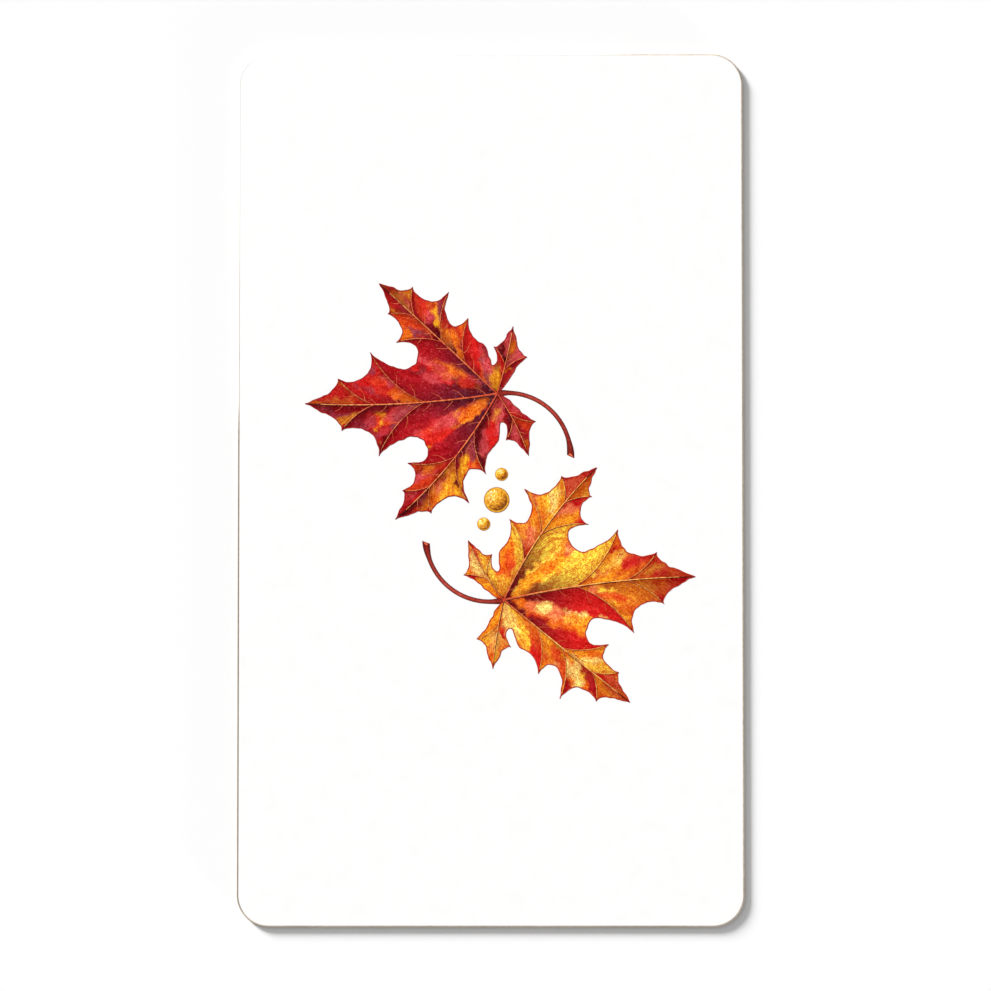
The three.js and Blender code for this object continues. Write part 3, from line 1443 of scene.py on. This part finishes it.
RUSSET_LEAF = LeafPlan(
    name="russet_leaf",
    place=Placement(junction=(0.9, 13.1), turn=189.0),
    palette=Palette(
        roots=(Pigment.MAROON, Pigment.CRIMSON, Pigment.SOOT, Pigment.MAROON, Pigment.DUSK),
        rims=(Pigment.CRIMSON, Pigment.VERMILION, Pigment.CRIMSON, Pigment.SCARLET, Pigment.TANGERINE,
              Pigment.CRIMSON, Pigment.MAROON),
        dabs=(Pigment.ROSE, Pigment.PLUM, Pigment.CRIMSON, Pigment.SCARLET, Pigment.VERMILION,
              Pigment.TANGERINE, Pigment.AMBER, Pigment.MAROON),
        tip=Pigment.CRIMSON, tip_strength=0.5,
        shadow=(0.12, 0.04, 0.06), contour=(0.32, 0.02, 0.02), twig=(0.62, 0.14, 0.06),
        veins=((0.55, 0.07, 0.035), (0.84, 0.22, 0.07), (0.80, 0.40, 0.12))),
)

AMBER_LEAF = LeafPlan(
    name="amber_leaf",
    place=Placement(junction=(1.8, -15.4), turn=13.0),
    palette=Palette(
        roots=(Pigment.UMBER, Pigment.CRIMSON, Pigment.UMBER, Pigment.AMBER, Pigment.MAROON),
        rims=(Pigment.AMBER, Pigment.TANGERINE, Pigment.GOLD, Pigment.SCARLET, Pigment.AMBER,
              Pigment.CRIMSON),
        dabs=(Pigment.GOLD, Pigment.STRAW, Pigment.AMBER, Pigment.TANGERINE, Pigment.VERMILION,
              Pigment.SALMON, Pigment.SCARLET, Pigment.AMBER),
        tip=Pigment.CRIMSON, tip_strength=0.9,
        shadow=(0.46, 0.12, 0.06), contour=(0.42, 0.035, 0.02), twig=(0.45, 0.10, 0.03),
        veins=((0.55, 0.07, 0.03), (0.92, 0.46, 0.11), (0.90, 0.50, 0.12))),
)


# ---------------------------------------------------------------------------------------------
# The beads


@dataclass
class BeadPrint:
    """The three printed beads."""

    face: PrintedFace
    film: float = 0.012
    sides: int = 96
    beads: tuple[tuple[str, Point, float], ...] = (
        ("bead_middle", (0.82, -1.59), 1.76),
        ("bead_upper", (1.49, 1.95), 0.90),
        ("bead_lower", (-0.97, -4.92), 0.91),
    )

    def build(self) -> list[bpy.types.Object]:
        """Builds the beads.

        Returns:
            The three pieces.
        """
        material = GoldBall().material()
        return [self.build_bead(name, at, radius, material) for name, at, radius in self.beads]

    def build_bead(self, name: str, at: Point, radius: float,
                   material: bpy.types.Material) -> bpy.types.Object:
        """Builds one bead: a round film that says where on a ball each of its points stands."""
        bm = bmesh.new()
        ball = bm.verts.layers.float_vector.new("ball")
        bmesh.ops.create_circle(bm, cap_ends=True, radius=1.0, segments=self.sides)
        for vert in bm.verts:
            vert[ball] = Vector((vert.co.x, vert.co.y, 0.0))
        bmesh.ops.scale(bm, vec=(radius, radius, 1.0), verts=bm.verts)
        bmesh.ops.translate(bm, vec=(*at, BED), verts=bm.verts)
        thicken(bm, bm.faces[:], lambda vert: self.film - BED)
        return self.face.finish_piece(name, bm, [material])


# ---------------------------------------------------------------------------------------------
# The studio


@dataclass(frozen=True)
class Sun:
    """A far light, which is as large in every part of the scene."""

    name: str
    strength: float
    height: float  # degrees above the floor
    bearing: float  # degrees from +X
    spread: float  # degrees across

    def build(self) -> None:
        """Builds the light."""
        light = bpy.data.lights.new(self.name, "SUN")
        light.energy = self.strength
        light.angle = math.radians(self.spread)
        height, bearing = math.radians(self.height), math.radians(self.bearing)
        towards = Vector((math.cos(height) * math.cos(bearing), math.cos(height) * math.sin(bearing),
                          math.sin(height)))
        sun = bpy.data.objects.new(self.name, light)
        sun.rotation_euler = towards.to_track_quat("Z", "Y").to_euler()
        sun.location = towards
        bpy.context.scene.collection.objects.link(sun)


@dataclass
class Studio:
    """The floor, the lights and the camera."""

    floor_size: float = 6.0
    lens: float = 85.0
    sensor: float = 36.0
    view_width: float = 136.80 * MM  # of the card's plane that the camera takes in
    aim: Point = (0.66 * MM, -0.98 * MM)  # from the middle of the card
    lean: float = 1.38  # degrees from straight above, towards the foot of the card
    fill_strength: float = 0.30
    suns: tuple[Sun, ...] = (
        Sun("key", strength=10.6, height=11.4, bearing=135.0, spread=11.0),
        Sun("soft", strength=0.75, height=30.0, bearing=135.0, spread=30.0),
        Sun("rim", strength=2.2, height=1.8, bearing=-45.0, spread=2.0),
    )

    def build(self) -> None:
        """Builds the whole studio."""
        self.build_floor()
        for sun in self.suns:
            sun.build()
        self.build_world()
        self.build_camera()
        bpy.context.scene.view_settings.view_transform = "Standard"

    def build_floor(self) -> None:
        """Builds the pale floor that the card lies on."""
        bm = bmesh.new()
        bmesh.ops.create_grid(bm, x_segments=1, y_segments=1, size=self.floor_size / 2)
        finish = Finish("floor_paint", MATT, NO_SHEEN)
        cloud = finish.nodes.noise(finish.nodes.place(), 3.0, 2.0)
        paint = finish.nodes.ramp(cloud, {0.3: (0.90, 0.90, 0.90), 0.7: (0.91, 0.91, 0.91)})
        finish.join(paint, "Base Color")
        new_object("floor", bm, [finish.material])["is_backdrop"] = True

    def build_world(self) -> None:
        """Builds the even fill, which the camera sees as white."""
        world = bpy.data.worlds.new("studio")
        world.use_nodes = True
        nodes = NodeTree(world.node_tree)
        nodes.tree.nodes.clear()
        seen = nodes.add("ShaderNodeLightPath").outputs["Is Camera Ray"]
        strength = nodes.remap(seen, 0.0, 1.0, self.fill_strength, 1.0)
        back = nodes.add("ShaderNodeBackground", {"Color": (1.0, 1.0, 1.0, 1.0), "Strength": strength})
        nodes.add("ShaderNodeOutputWorld", {"Surface": back.outputs[0]})
        bpy.context.scene.world = world

    def build_camera(self) -> None:
        """Builds the camera, which looks down on the card."""
        low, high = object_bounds()
        target = Vector(((low[0] + high[0]) / 2 + self.aim[0], (low[1] + high[1]) / 2 + self.aim[1],
                         high[2]))
        distance = self.view_width / 2 * self.lens / (self.sensor / 2)
        lean = math.radians(self.lean)
        back = Vector((0.0, -math.sin(lean), math.cos(lean)))
        lens = bpy.data.cameras.new("camera")
        lens.lens = self.lens
        lens.sensor_width = self.sensor
        camera = bpy.data.objects.new("camera", lens)
        camera.rotation_euler = (lean, 0.0, 0.0)
        camera.location = target + back * distance
        bpy.context.scene.collection.objects.link(camera)
        bpy.context.scene.camera = camera


def main() -> None:
    """Builds the card, its print and the studio round it."""
    logging.basicConfig(level=logging.INFO, format="%(name)s: %(message)s")
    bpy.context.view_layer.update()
    Studio().build()
    pieces = [BoardStock().build()]
    face = PrintedFace()
    for plan in (RUSSET_LEAF, AMBER_LEAF):
        pieces.extend(LeafPrint(plan.name, plan.place, plan.palette, face).build())
    pieces.extend(BeadPrint(face).build())
    for piece in pieces:
        log.info("%s: %d faces", piece.name, len(piece.data.polygons))
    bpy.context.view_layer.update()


if __name__ == "__main__":
    main()
